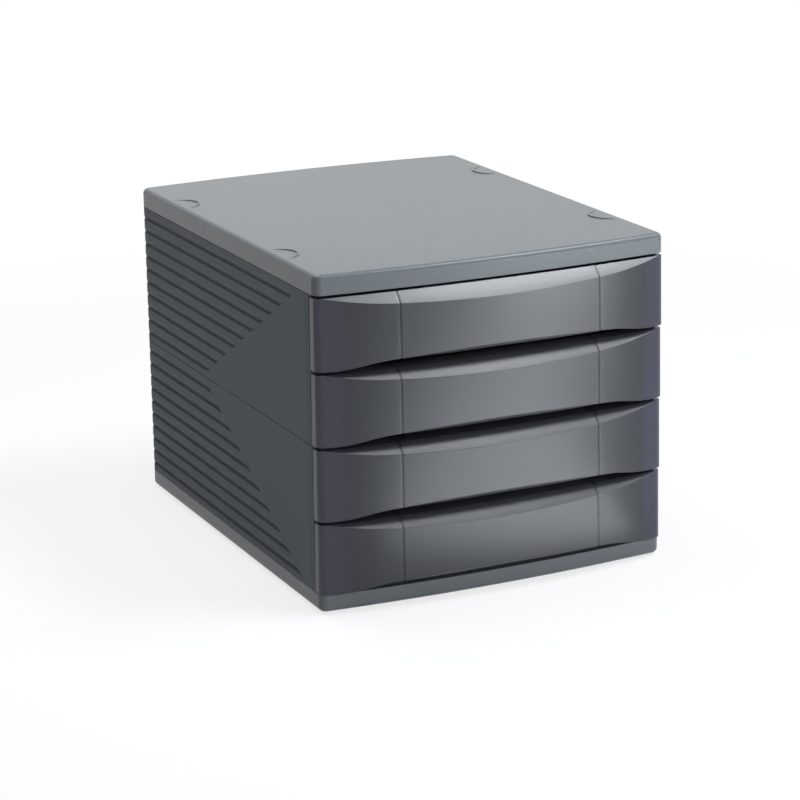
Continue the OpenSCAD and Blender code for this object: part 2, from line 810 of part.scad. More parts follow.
// Translucent front of drawer n
module drawer_front(n) {
    open_y = wall_front_y + over;
    color(smoke_grey) translate([0, 0, bay_z(n - 1) - front_drop]) {
        difference() {
            intersection() {
                leaned() difference() {
                    front_form(0, open_y, front_h + over);
                    front_form(front_t, open_y + over, front_h + 2 * over);
                }
                translate([0, front_back_y, 0]) rotate([90, 0, 0]) linear_extrude(depth) front_outline();
            }
            bevel_waste();
        }
        for (side = [0, 1]) mirror([side, 0, 0]) front_web();
    }
}

module drawer_1_front() {
    drawer_front(1);
}

module drawer_2_front() {
    drawer_front(2);
}

module drawer_3_front() {
    drawer_front(3);
}

module drawer_4_front() {
    drawer_front(4);
}

// Plan of a tray, square at the front and round at its rear corners
module tray_plan(half, rear_y, r) {
    difference() {
        translate([-half, tray_front_y]) square([2 * half, rear_y - tray_front_y]);
        for (side = [0, 1]) mirror([side, 0]) translate([half - r, rear_y - r]) difference() {
            square(r + over);
            circle(r = r);
        }
    }
}

// Tray of drawer n, on its skids
module drawer_tray(n) {
    floor_z = skid_h + tray_t;
    slot_z = tongue_z - floor_t - run_gap;
    color(tray_grey) translate([0, 0, bay_z(n) + floor_t + run_gap]) {
        difference() {
            union() {
                translate([0, 0, skid_h]) linear_extrude(tray_h - skid_h)
                    tray_plan(tray_half, tray_rear_y, tray_corner_r);
                translate([0, 0, tray_h - tray_rim_t]) linear_extrude(tray_rim_t) intersection() {
                    tray_plan(tray_half + tray_rim_w, tray_rear_y + tray_rim_w, tray_corner_r + tray_rim_w);
                    translate([-half_w, wall_front_y]) square([case_w, depth]);
                }
                translate([-half_w + front_t + 2 * fit, tray_front_y, 0])
                    cube([case_w - 2 * (front_t + 2 * fit), tray_front_t, tray_front_top - run_gap]);
            }
            translate([0, 0, floor_z]) linear_extrude(tray_h) intersection() {
                tray_plan(tray_half - tray_t, tray_rear_y - tray_t, tray_corner_r - tray_t);
                translate([-half_w, tray_front_y + tray_front_t]) square([case_w, depth]);
            }
            for (side = [0, 1]) mirror([side, 0, 0])
                translate([web_x - web_t / 2 - fit, tray_front_y - over, slot_z - tongue_h / 2 - fit])
                    cube([web_t + barb + 2 * fit, tray_front_t + 2 * over, tongue_h + 2 * fit]);
        }
        for (side = [-1, 1])
            translate([side * skid_x - skid_w / 2, wall_front_y + stop_set, 0])
                cube([skid_w, tray_rear_y - tray_corner_r - wall_front_y - stop_set, skid_h + tray_t / 2]);
        translate([-stop_half, stop_y, stop_h / 2 - run_gap])
            cube([2 * stop_half, stop_t, skid_h + tray_t / 2 - stop_h / 2 + run_gap]);
    }
}

module drawer_1_tray() {
    drawer_tray(1);
}

module drawer_2_tray() {
    drawer_tray(2);
}

module drawer_3_tray() {
    drawer_tray(3);
}

module drawer_4_tray() {
    drawer_tray(4);
}

top_cover();
upper_housing();
upper_shelf();
upper_back_panel();
lower_housing();
lower_shelf();
lower_back_panel();
base_panel();
front_left_foot();
front_right_foot();
rear_left_foot();
rear_right_foot();
base_screws();
housing_screws();
drawer_1_tray();
drawer_1_front();
drawer_2_tray();
drawer_2_front();
drawer_3_tray();
drawer_3_front();
drawer_4_tray();
drawer_4_front();
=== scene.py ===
import math
from collections import namedtuple

import bpy
from bpy.props import FloatProperty, FloatVectorProperty, PointerProperty
from mathutils import Matrix, Vector


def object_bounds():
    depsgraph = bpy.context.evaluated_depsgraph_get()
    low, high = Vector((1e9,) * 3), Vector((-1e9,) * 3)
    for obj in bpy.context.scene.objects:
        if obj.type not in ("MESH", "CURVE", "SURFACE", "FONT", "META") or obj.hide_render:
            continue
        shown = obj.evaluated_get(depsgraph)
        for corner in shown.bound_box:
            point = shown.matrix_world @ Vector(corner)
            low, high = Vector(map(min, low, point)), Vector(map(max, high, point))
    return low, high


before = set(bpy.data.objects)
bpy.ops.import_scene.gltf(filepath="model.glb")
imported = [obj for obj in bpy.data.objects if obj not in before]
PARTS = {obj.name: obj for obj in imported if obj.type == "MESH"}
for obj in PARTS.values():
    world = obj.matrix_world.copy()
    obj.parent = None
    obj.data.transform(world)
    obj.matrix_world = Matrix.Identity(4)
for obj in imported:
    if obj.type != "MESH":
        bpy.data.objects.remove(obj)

bl_info = {
    "name": "Drawer unit finish",
    "version": (1, 0, 0),
    "blender": (4, 5, 0),
    "location": "3D View > Sidebar > Drawer unit",
    "description": "Finishes a stacked desktop drawer unit and sets its studio",
    "category": "Object",
}

CAD_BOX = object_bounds()
DRAWERS = (1, 2, 3, 4)

COVER_PARTS = ("top_cover", "base_panel")
CASE_PARTS = ("upper_housing", "lower_housing", "upper_back_panel", "lower_back_panel")
SHELF_PARTS = ("upper_shelf", "lower_shelf")
FOOT_PARTS = ("front_left_foot", "front_right_foot", "rear_left_foot", "rear_right_foot")
SCREW_PARTS = ("base_screws", "housing_screws")

# Specular levels of the plastics, and how much duller than the cover the case and the trays are

COVER_GLOSS = 0.22
CASE_GLOSS = 0.03
TRAY_GLOSS = 0.2
FRONT_GLOSS = 0.6
CASE_DULLNESS = 0.15
TRAY_DULLNESS = 0.1
PLASTIC_IOR = 1.5

# Handled surface: patches of tone and specks of dust per metre, and how much of them the fronts show

CLOUDS_PER_M = 14.0
CLOUD_DETAIL = 4.0
SPECKS_PER_M = 260.0
SPECK_DETAIL = 3.0
NOISE_MEAN = 0.5
FRONT_CLOUDINESS = 0.12
FRONT_DUST = 0.012
FRONT_ROUGHNESS_CHANGE = 0.05

# Moulded grain, and how the fronts' grain and edges differ from the cover's

GRAIN_DETAIL = 2.0
GRAIN_ROUGHNESS = 0.6
EDGE_SAMPLES = 4
FRONT_GRAIN_SHARE = 0.25
FRONT_EDGE_TIMES = 2

# Rubber and steel: noise per metre, its other tone as a share of the colour, pit depth and roughness

PITS_PER_M = 1800.0
PIT_TONE = 1.8
PIT_DEPTH = 0.00005
RUBBER_ROUGHNESS = 0.85
TURNING_MARKS_PER_M = 900.0
TURNING_MARK_TONE = 0.75
STEEL_ROUGHNESS_RANGE = (0.25, 0.45)

# Floor: half its side, its paint, and the white that is seen under the unit and where its fade starts

FLOOR_HALF = 4.0
FLOOR_ROUGHNESS = 0.9
FLOOR_GLOSS = 0.1
WHITE_UNDER_UNIT = 0.75
FADE_START_DIVISOR = 3

# Lamps: angles in degrees, with azimuth 0 at the front and 90 at the right, and lengths in metres

Softbox = namedtuple("Softbox", "azimuth elevation distance sides")
OVERHEAD = Softbox(azimuth=235, elevation=74, distance=0.8, sides=(0.4, 0.4))
HIGH_FRONT = Softbox(azimuth=60, elevation=58, distance=1.75, sides=(0.9, 0.55))
STANDING_STRIP = Softbox(azimuth=35, elevation=1, distance=1.6, sides=(0.48, 0.45))
FLOOR_PANEL = Softbox(azimuth=26, elevation=0, distance=0.43, sides=(0.28, 0.65))
STRIP_AIM_HEIGHT = 0.2
PANEL_HEIGHT = 0.005

# Camera: width of the sensor in millimetres, and the nearest and farthest distance in metres

SENSOR_WIDTH = 36
CLIP_START = 0.05
CLIP_END = 60


# Settings that a user may change


class MouldedFinish(bpy.types.PropertyGroup):
    """Colour and grain of the opaque moulded plastic"""

    cover_colour: FloatVectorProperty(
        name="Cover colour", description="Colour of the cover and the base",
        subtype="COLOR", size=3, min=0, max=1, default=(0.100, 0.110, 0.117))
    case_colour: FloatVectorProperty(
        name="Case colour", description="Colour of the housings and the back panels",
        subtype="COLOR", size=3, min=0, max=1, default=(0.080, 0.092, 0.100))
    inner_colour: FloatVectorProperty(
        name="Tray colour", description="Colour of the trays and the shelves",
        subtype="COLOR", size=3, min=0, max=1, default=(0.062, 0.070, 0.077))
    grain_size: FloatProperty(
        name="Grain size", description="Distance between the bumps of the moulded grain",
        subtype="DISTANCE", unit="LENGTH", min=0.0002, max=0.005, default=0.0011)
    grain_depth: FloatProperty(
        name="Grain depth", description="Height of the moulded grain",
        subtype="DISTANCE", unit="LENGTH", min=0, max=0.0005, default=0.00003)
    roughness: FloatProperty(
        name="Roughness", description="Roughness of the satin plastic",
        min=0, max=1, default=0.28)
    edge_softness: FloatProperty(
        name="Edge softness", description="Radius at which hard edges catch the light",
        subtype="DISTANCE", unit="LENGTH", min=0, max=0.002, default=0.0003)
    gate_radius: FloatProperty(
        name="Gate mark radius",
        description="Radius of the faint mark that the mould's gate leaves on the cover",
        subtype="DISTANCE", unit="LENGTH", min=0.001, max=0.01, default=0.004)
    gate_depth: FloatProperty(
        name="Gate mark depth", description="Depth of the mark of the mould's gate",
        subtype="DISTANCE", unit="LENGTH", min=0, max=0.0005, default=0.00006)


class FrontFinish(bpy.types.PropertyGroup):
    """Colour and clearness of the smoky drawer fronts"""

    colour: FloatVectorProperty(
        name="Smoke colour", description="Colour of the translucent fronts",
        subtype="COLOR", size=3, min=0, max=1, default=(0.009, 0.012, 0.017))
    # Painted light: the ends of each front get a lighter, bluer colour that stands for the light shining
    # through the front where no tray stands behind it.
    end_painted_light_colour: FloatVectorProperty(
        name="End painted light", description="Colour of the ends, where no tray stands behind the front",
        subtype="COLOR", size=3, min=0, max=1, default=(0.016, 0.017, 0.034))
    opacity: FloatProperty(
        name="Opacity", description="Share of the light that each face of a front's wall stops",
        subtype="FACTOR", min=0, max=1, default=0.86)
    roughness: FloatProperty(
        name="Roughness", description="Roughness of the smooth plastic",
        min=0, max=1, default=0.31)
    rib_place: FloatProperty(
        name="Rib place", description="Distance of the inner ribs from the middle",
        subtype="DISTANCE", unit="LENGTH", min=0.05, max=0.1, default=0.080)
    rib_width: FloatProperty(
        name="Rib width", description="Half the width of the sink mark in front of an inner rib",
        subtype="DISTANCE", unit="LENGTH", min=0.0005, max=0.004, default=0.0016)
    rib_sink: FloatProperty(
        name="Rib sink", description="Depth of the sink mark in front of an inner rib",
        subtype="DISTANCE", unit="LENGTH", min=0, max=0.0005, default=0.00008)
    rib_clearness: FloatProperty(
        name="Rib clearness", description="How much less light a face stops in front of an inner rib",
        subtype="FACTOR", min=0, max=1, default=0.32)
    end_place: FloatProperty(
        name="End place", description="Distance from the middle at which the tray ends behind the front",
        subtype="DISTANCE", unit="LENGTH", min=0.1, max=0.14, default=0.123)
    end_blur: FloatProperty(
        name="End blur", description="Distance over which the tray's end blurs through the front",
        subtype="DISTANCE", unit="LENGTH", min=0.0005, max=0.01, default=0.004)


class RubberAndSteel(bpy.types.PropertyGroup):
    """Colours of the feet and the screws"""

    rubber_colour: FloatVectorProperty(
        name="Foot colour", description="Colour of the rubber feet",
        subtype="COLOR", size=3, min=0, max=1, default=(0.022, 0.023, 0.024))
    steel_colour: FloatVectorProperty(
        name="Screw colour", description="Colour of the screws",
        subtype="COLOR", size=3, min=0, max=1, default=(0.50, 0.50, 0.49))


class StudioSettings(bpy.types.PropertyGroup):
    """Floor, lamps and camera"""

    floor_colour: FloatVectorProperty(
        name="Floor colour", description="Colour of the studio floor",
        subtype="COLOR", size=3, min=0, max=1, default=(0.86, 0.86, 0.86))
    lamp_colour: FloatVectorProperty(
        name="Lamp colour", description="Colour of the softboxes",
        subtype="COLOR", size=3, min=0, max=1, default=(0.90, 0.95, 1.0))
    fill_light: FloatProperty(
        name="Fill light", description="Strength of the even light from all round",
        min=0, max=4, default=0.25)
    overhead_light: FloatProperty(
        name="Overhead light", description="Power of the softbox over the rear of the unit",
        subtype="POWER", unit="POWER", min=0, default=4.5)
    front_light: FloatProperty(
        name="Front light", description="Power of the high softbox at the right front",
        subtype="POWER", unit="POWER", min=0, default=27.0)
    strip_light: FloatProperty(
        name="Strip light", description="Power of the narrow softbox that stands at the right front",
        subtype="POWER", unit="POWER", min=0, default=17.0)
    floor_light: FloatProperty(
        name="Floor light",
        description="Power of the glowing panel that lies on the floor at the right front",
        subtype="POWER", unit="POWER", min=0, default=2.6)
    white_radius: FloatProperty(
        name="White radius", description="Distance from the unit at which the floor is plain white",
        subtype="DISTANCE", unit="LENGTH", min=0.3, max=3, default=1.1)
    focal_length: FloatProperty(
        name="Focal length", description="Focal length of the camera",
        min=20, max=400, default=121.3)
    camera_place: FloatVectorProperty(
        name="Camera place", description="Where the camera stands",
        subtype="TRANSLATION", unit="LENGTH", size=3, default=(-0.86127, -1.81978, 0.68888))
    camera_yaw: FloatProperty(
        name="Camera yaw", description="Turn of the camera away from the depth of the unit",
        subtype="ANGLE", unit="ROTATION", default=0.4434)
    camera_pitch: FloatProperty(
        name="Camera pitch", description="Angle by which the camera looks down",
        subtype="ANGLE", unit="ROTATION", default=0.2853)
    camera_roll: FloatProperty(
        name="Camera roll", description="Turn of the camera about its line of sight",
        subtype="ANGLE", unit="ROTATION", default=-0.0141)


# Shader groups that several materials share


def new_group(name, inputs, outputs):
    """Empty shader node group with named sockets"""
    group = bpy.data.node_groups.new(name, "ShaderNodeTree")
    for label, kind, default in inputs:
        socket = group.interface.new_socket(name=label, in_out="INPUT", socket_type=kind)
        if default is not None:
            socket.default_value = default
    for label, kind in outputs:
        group.interface.new_socket(name=label, in_out="OUTPUT", socket_type=kind)
    ends = group.nodes.new("NodeGroupInput"), group.nodes.new("NodeGroupOutput")
    ends[0].location, ends[1].location = (-900, 0), (500, 0)
    return group, ends[0], ends[1]


def add(tree, kind, x=0, y=0, **values):
    """New node at a place, with its properties set"""
    node = tree.nodes.new(kind)
    node.location = (x, y)
    for key, value in values.items():
        setattr(node, key, value)
    return node


def moulded_grain_group():
    """Fine satin grain of moulded plastic, with hard edges softened"""
    group, start, end = new_group(
        "Moulded grain",
        [("Grain size", "NodeSocketFloat", 0.001), ("Grain depth", "NodeSocketFloat", 0.00003),
         ("Edge radius", "NodeSocketFloat", 0.0003)],
        [("Normal", "NodeSocketVector")])
    place = add(group, "ShaderNodeTexCoord", -700, -200)
    per_metre = add(group, "ShaderNodeMath", -700, 100, operation="DIVIDE")
    per_metre.inputs[0].default_value = 1.0
    noise = add(group, "ShaderNodeTexNoise", -400, 0)
    noise.inputs["Detail"].default_value = GRAIN_DETAIL
    noise.inputs["Roughness"].default_value = GRAIN_ROUGHNESS
    soft = add(group, "ShaderNodeBevel", -100, -200, samples=EDGE_SAMPLES)
    bump = add(group, "ShaderNodeBump", 200, 0)
    bump.inputs["Strength"].default_value = 1.0
    link = group.links.new
    link(start.outputs["Grain size"], per_metre.inputs[1])
    link(per_metre.outputs[0], noise.inputs["Scale"])
    link(place.outputs["Object"], noise.inputs["Vector"])
    link(noise.outputs["Fac"], bump.inputs["Height"])
    link(start.outputs["Grain depth"], bump.inputs["Distance"])
    link(start.outputs["Edge radius"], soft.inputs["Radius"])
    link(soft.outputs["Normal"], bump.inputs["Normal"])
    link(bump.outputs["Normal"], end.inputs["Normal"])
    return group


def handled_surface_group():
    """Slight cloudiness, dust on what faces up and a roughness that varies"""
    group, start, end = new_group(
        "Handled surface",
        [("Colour", "NodeSocketColor", (0.1, 0.1, 0.1, 1)),
         ("Dust colour", "NodeSocketColor", (0.5, 0.5, 0.48, 1)),
         ("Cloudiness", "NodeSocketFloat", 0.06), ("Dust", "NodeSocketFloat", 0.03),
         ("Roughness", "NodeSocketFloat", 0.4), ("Roughness change", "NodeSocketFloat", 0.08)],
        [("Colour", "NodeSocketColor"), ("Roughness", "NodeSocketFloat")])
    link = group.links.new
    place = add(group, "ShaderNodeTexCoord", -900, -300)
    clouds = add(group, "ShaderNodeTexNoise", -650, -100)
    clouds.inputs["Scale"].default_value = CLOUDS_PER_M
    clouds.inputs["Detail"].default_value = CLOUD_DETAIL
    spread = add(group, "ShaderNodeMath", -450, -100, operation="SUBTRACT")
    spread.inputs[1].default_value = NOISE_MEAN
    link(place.outputs["Object"], clouds.inputs["Vector"])
    link(clouds.outputs["Fac"], spread.inputs[0])
    lift = add(group, "ShaderNodeMath", -250, 0, operation="MULTIPLY_ADD")
    lift.inputs[2].default_value = 1.0
    link(spread.outputs[0], lift.inputs[0])
    link(start.outputs["Cloudiness"], lift.inputs[1])
    toned = add(group, "ShaderNodeVectorMath", -50, 100, operation="SCALE")
    link(start.outputs["Colour"], toned.inputs[0])
    link(lift.outputs[0], toned.inputs["Scale"])
    facing = add(group, "ShaderNodeNewGeometry", -900, -600)
    up = add(group, "ShaderNodeSeparateXYZ", -700, -600)
    link(facing.outputs["Normal"], up.inputs[0])
    specks = add(group, "ShaderNodeTexNoise", -650, -400)
    specks.inputs["Scale"].default_value = SPECKS_PER_M
    specks.inputs["Detail"].default_value = SPECK_DETAIL
    link(place.outputs["Object"], specks.inputs["Vector"])
    settle = add(group, "ShaderNodeMath", -450, -500, operation="MULTIPLY", use_clamp=True)
    link(up.outputs["Z"], settle.inputs[0])
    link(specks.outputs["Fac"], settle.inputs[1])
    amount = add(group, "ShaderNodeMath", -250, -400, operation="MULTIPLY", use_clamp=True)
    link(settle.outputs[0], amount.inputs[0])
    link(start.outputs["Dust"], amount.inputs[1])
    dusty = add(group, "ShaderNodeMix", 150, 100, data_type="RGBA")
    link(amount.outputs[0], dusty.inputs["Factor"])
    link(toned.outputs[0], dusty.inputs["A"])
    link(start.outputs["Dust colour"], dusty.inputs["B"])
    link(dusty.outputs["Result"], end.inputs["Colour"])
    shine = add(group, "ShaderNodeMath", 150, -200, operation="MULTIPLY_ADD", use_clamp=True)
    link(spread.outputs[0], shine.inputs[0])
    link(start.outputs["Roughness change"], shine.inputs[1])
    link(start.outputs["Roughness"], shine.inputs[2])
    link(shine.outputs[0], end.inputs["Roughness"])
    return group


def seen_through_group():
    """Where the inner ribs and the tray's ends lie behind a translucent front; the ends mask places the
    painted light at the front's ends
    """
    group, start, end = new_group(
        "Seen through the front",
        [("Rib place", "NodeSocketFloat", 0.08), ("Rib width", "NodeSocketFloat", 0.0016),
         ("End place", "NodeSocketFloat", 0.123), ("End blur", "NodeSocketFloat", 0.004)],
        [("Ribs", "NodeSocketFloat"), ("Painted light ends", "NodeSocketFloat")])
    link = group.links.new
    place = add(group, "ShaderNodeTexCoord", -900, -200)
    axes = add(group, "ShaderNodeSeparateXYZ", -700, -200)
    across = add(group, "ShaderNodeMath", -500, -200, operation="ABSOLUTE")
    link(place.outputs["Object"], axes.inputs[0])
    link(axes.outputs["X"], across.inputs[0])
    offset = add(group, "ShaderNodeMath", -300, 100, operation="SUBTRACT")
    beside = add(group, "ShaderNodeMath", -100, 100, operation="ABSOLUTE")
    ribs = add(group, "ShaderNodeMapRange", 150, 100, interpolation_type="SMOOTHSTEP")
    ribs.inputs["To Min"].default_value = 1.0
    ribs.inputs["To Max"].default_value = 0.0
    link(across.outputs[0], offset.inputs[0])
    link(start.outputs["Rib place"], offset.inputs[1])
    link(offset.outputs[0], beside.inputs[0])
    link(beside.outputs[0], ribs.inputs["Value"])
    link(start.outputs["Rib width"], ribs.inputs["From Max"])
    # The ends mask rises from the tray's end outwards and places the painted light at the front's ends
    inner = add(group, "ShaderNodeMath", -300, -300, operation="SUBTRACT")
    outer = add(group, "ShaderNodeMath", -300, -450, operation="ADD")
    ends = add(group, "ShaderNodeMapRange", 150, -300, interpolation_type="SMOOTHSTEP")
    for edge in (inner, outer):
        link(start.outputs["End place"], edge.inputs[0])
        link(start.outputs["End blur"], edge.inputs[1])
    link(inner.outputs[0], ends.inputs["From Min"])
    link(outer.outputs[0], ends.inputs["From Max"])
    link(across.outputs[0], ends.inputs["Value"])
    link(ribs.outputs["Result"], end.inputs["Ribs"])
    link(ends.outputs["Result"], end.inputs["Painted light ends"])
    return group


def shared_group(name, maker):
    """The shader group of that name, made once"""
    found = bpy.data.node_groups.get(name)
    return found if found else maker()


def colour4(colour):
    """Colour with full opacity, as a colour socket holds it"""
    return (*colour, 1.0)


# Materials


def new_material(name):
    """Material with only a Principled shader and its output"""
    material = bpy.data.materials.new(name)
    material.use_nodes = True
    shader = material.node_tree.nodes["Principled BSDF"]
    return material, material.node_tree, shader


def moulded_plastic(name, colour, roughness, gloss, finish, cloudiness=0.10, dust=0.03):
    """Opaque satin plastic with grain, slight cloudiness and dust"""
    material, tree, shader = new_material(name)
    surface = add(tree, "ShaderNodeGroup", -500, 100)
    surface.node_tree = shared_group("Handled surface", handled_surface_group)
    surface.inputs["Colour"].default_value = colour4(colour)
    surface.inputs["Cloudiness"].default_value = cloudiness
    surface.inputs["Dust"].default_value = dust
    surface.inputs["Roughness"].default_value = roughness
    grain = add(tree, "ShaderNodeGroup", -500, -250)
    grain.node_tree = shared_group("Moulded grain", moulded_grain_group)
    grain.inputs["Grain size"].default_value = finish.grain_size
    grain.inputs["Grain depth"].default_value = finish.grain_depth
    grain.inputs["Edge radius"].default_value = finish.edge_softness
    link = tree.links.new
    link(surface.outputs["Colour"], shader.inputs["Base Color"])
    link(surface.outputs["Roughness"], shader.inputs["Roughness"])
    link(grain.outputs["Normal"], shader.inputs["Normal"])
    shader.inputs["IOR"].default_value = PLASTIC_IOR
    shader.inputs["Specular IOR Level"].default_value = gloss
    return material


def add_gate_mark(material, finish):
    """Shallow round mark of the mould's gate in the middle of a plate"""
    tree = material.node_tree
    shader = tree.nodes["Principled BSDF"]
    place = add(tree, "ShaderNodeTexCoord", -1200, -500)
    flat = add(tree, "ShaderNodeVectorMath", -1000, -500, operation="MULTIPLY")
    flat.inputs[1].default_value = (1, 1, 0)
    away = add(tree, "ShaderNodeVectorMath", -800, -500, operation="LENGTH")
    dish = add(tree, "ShaderNodeMapRange", -600, -500, interpolation_type="SMOOTHSTEP")
    dish.inputs["From Max"].default_value = finish.gate_radius
    bump = add(tree, "ShaderNodeBump", -250, -400)
    bump.inputs["Distance"].default_value = finish.gate_depth
    link = tree.links.new
    link(place.outputs["Object"], flat.inputs[0])
    link(flat.outputs[0], away.inputs[0])
    link(away.outputs["Value"], dish.inputs["Value"])
    link(dish.outputs["Result"], bump.inputs["Height"])
    link(shader.inputs["Normal"].links[0].from_socket, bump.inputs["Normal"])
    link(bump.outputs["Normal"], shader.inputs["Normal"])


def smoky_plastic(name, front, finish):
    """Translucent smoky plastic, smooth, with the ribs and the tray showing through, and painted light at its
    ends where no tray stands behind
    """
    material, tree, shader = new_material(name)
    behind = add(tree, "ShaderNodeGroup", -1100, 0)
    behind.node_tree = shared_group("Seen through the front", seen_through_group)
    behind.inputs["Rib place"].default_value = front.rib_place
    behind.inputs["Rib width"].default_value = front.rib_width
    behind.inputs["End place"].default_value = front.end_place
    behind.inputs["End blur"].default_value = front.end_blur
    # Painted light: the colour goes lighter and bluer towards the ends, for the light that shines through
    # where no tray stands behind the front
    painted_end_light = add(tree, "ShaderNodeMix", -850, 150, data_type="RGBA")
    painted_end_light.inputs["A"].default_value = colour4(front.colour)
    painted_end_light.inputs["B"].default_value = colour4(front.end_painted_light_colour)
    surface = add(tree, "ShaderNodeGroup", -550, 100)
    surface.node_tree = shared_group("Handled surface", handled_surface_group)
    surface.inputs["Cloudiness"].default_value = FRONT_CLOUDINESS
    surface.inputs["Dust"].default_value = FRONT_DUST
    surface.inputs["Roughness"].default_value = front.roughness
    surface.inputs["Roughness change"].default_value = FRONT_ROUGHNESS_CHANGE
    grain = add(tree, "ShaderNodeGroup", -550, -250)
    grain.node_tree = shared_group("Moulded grain", moulded_grain_group)
    grain.inputs["Grain size"].default_value = finish.grain_size
    grain.inputs["Grain depth"].default_value = finish.grain_depth * FRONT_GRAIN_SHARE
    grain.inputs["Edge radius"].default_value = finish.edge_softness * FRONT_EDGE_TIMES
    sink = add(tree, "ShaderNodeBump", -250, -250, invert=True)
    sink.inputs["Distance"].default_value = front.rib_sink
    clearness = add(tree, "ShaderNodeMath", -250, 400, operation="MULTIPLY_ADD")
    clearness.inputs[1].default_value = -front.rib_clearness
    clearness.inputs[2].default_value = front.opacity
    link = tree.links.new
    link(behind.outputs["Ribs"], clearness.inputs[0])
    link(clearness.outputs[0], shader.inputs["Alpha"])
    link(behind.outputs["Painted light ends"], painted_end_light.inputs["Factor"])
    link(painted_end_light.outputs["Result"], surface.inputs["Colour"])
    link(surface.outputs["Colour"], shader.inputs["Base Color"])
    link(surface.outputs["Roughness"], shader.inputs["Roughness"])
    link(behind.outputs["Ribs"], sink.inputs["Height"])
    link(grain.outputs["Normal"], sink.inputs["Normal"])
    link(sink.outputs["Normal"], shader.inputs["Normal"])
    shader.inputs["IOR"].default_value = PLASTIC_IOR
    shader.inputs["Specular IOR Level"].default_value = FRONT_GLOSS
    return material


def noisy_tone(tree, shader, per_metre, colour, other_tone):
    """Fine noise that takes the base colour to another tone of it. Gives the noise's value"""
    place = add(tree, "ShaderNodeTexCoord", -900, 0)
    noise = add(tree, "ShaderNodeTexNoise", -700, 0)
    noise.inputs["Scale"].default_value = per_metre
    tone = add(tree, "ShaderNodeMix", -300, 100, data_type="RGBA")
    tone.inputs["A"].default_value = colour4(colour)
    tone.inputs["B"].default_value = colour4([other_tone * part for part in colour])
    tree.links.new(place.outputs["Object"], noise.inputs["Vector"])
    tree.links.new(noise.outputs["Fac"], tone.inputs["Factor"])
    tree.links.new(tone.outputs["Result"], shader.inputs["Base Color"])
    return noise.outputs["Fac"]


def rubber(name, colour):
    """Dull rubber with fine pitting"""
    material, tree, shader = new_material(name)
    pits = noisy_tone(tree, shader, PITS_PER_M, colour, PIT_TONE)
    bump = add(tree, "ShaderNodeBump", -300, -200)
    bump.inputs["Distance"].default_value = PIT_DEPTH
    tree.links.new(pits, bump.inputs["Height"])
    tree.links.new(bump.outputs["Normal"], shader.inputs["Normal"])
    shader.inputs["Roughness"].default_value = RUBBER_ROUGHNESS
    return material


def plated_steel(name, colour):
    """Zinc-plated steel with fine turning marks"""
    material, tree, shader = new_material(name)
    marks = noisy_tone(tree, shader, TURNING_MARKS_PER_M, colour, TURNING_MARK_TONE)
    rough = add(tree, "ShaderNodeMapRange", -300, -200)
    rough.inputs["To Min"].default_value = STEEL_ROUGHNESS_RANGE[0]
    rough.inputs["To Max"].default_value = STEEL_ROUGHNESS_RANGE[1]
    tree.links.new(marks, rough.inputs["Value"])
    tree.links.new(rough.outputs["Result"], shader.inputs["Roughness"])
    shader.inputs["Metallic"].default_value = 1.0
    return material


def dress(names, material):
    """Give CAD parts a material"""
    for name in names:
        if name not in PARTS:
            raise RuntimeError(f"the frame has no part named {name}")
        mesh = PARTS[name].data
        mesh.materials.clear()
        mesh.materials.append(material)


# Operators and the stage


class FinishStep(bpy.types.Operator):
    """One step of the finish"""

    bl_options = {"REGISTER", "UNDO"}


class DRAWERUNIT_OT_cover(FinishStep):
    """Finish the top cover and the base in satin plastic"""

    bl_idname = "drawerunit.cover"
    bl_label = "Cover and base"

    def execute(self, context):
        finish = context.scene.moulded_finish
        satin = moulded_plastic(
            "Satin cover plastic", finish.cover_colour, finish.roughness, COVER_GLOSS, finish)
        add_gate_mark(satin, finish)
        dress(COVER_PARTS, satin)
        return {"FINISHED"}


class DRAWERUNIT_OT_housings(FinishStep):
    """Finish the housings and the back panels in satin plastic"""

    bl_idname = "drawerunit.housings"
    bl_label = "Housings"

    def execute(self, context):
        finish = context.scene.moulded_finish
        satin = moulded_plastic(
            "Satin case plastic", finish.case_colour, finish.roughness + CASE_DULLNESS, CASE_GLOSS, finish)
        dress(CASE_PARTS, satin)
        return {"FINISHED"}


class DRAWERUNIT_OT_trays(FinishStep):
    """Finish the trays and the shelves in plain moulded plastic"""

    bl_idname = "drawerunit.trays"
    bl_label = "Trays and shelves"

    def execute(self, context):
        finish = context.scene.moulded_finish
        plain = moulded_plastic(
            "Plain tray plastic", finish.inner_colour, finish.roughness + TRAY_DULLNESS, TRAY_GLOSS, finish,
            cloudiness=0.12, dust=0.02)
        dress(SHELF_PARTS, plain)
        dress([f"drawer_{n}_tray" for n in DRAWERS], plain)
        return {"FINISHED"}


class DRAWERUNIT_OT_fronts(FinishStep):
    """Finish the drawer fronts in smoky translucent plastic"""

    bl_idname = "drawerunit.fronts"
    bl_label = "Drawer fronts"

    def execute(self, context):
        smoky = smoky_plastic("Smoky front plastic", context.scene.front_finish, context.scene.moulded_finish)
        dress([f"drawer_{n}_front" for n in DRAWERS], smoky)
        return {"FINISHED"}


class DRAWERUNIT_OT_feet(FinishStep):
    """Finish the feet in dull rubber"""

    bl_idname = "drawerunit.feet"
    bl_label = "Feet"

    def execute(self, context):
        dress(FOOT_PARTS, rubber("Foot rubber", context.scene.rubber_and_steel.rubber_colour))
        return {"FINISHED"}


class DRAWERUNIT_OT_screws(FinishStep):
    """Finish the screws in plated steel"""

    bl_idname = "drawerunit.screws"
    bl_label = "Screws"

    def execute(self, context):
        steel = plated_steel("Plated screw steel", context.scene.rubber_and_steel.steel_colour)
        dress(SCREW_PARTS, steel)
        return {"FINISHED"}


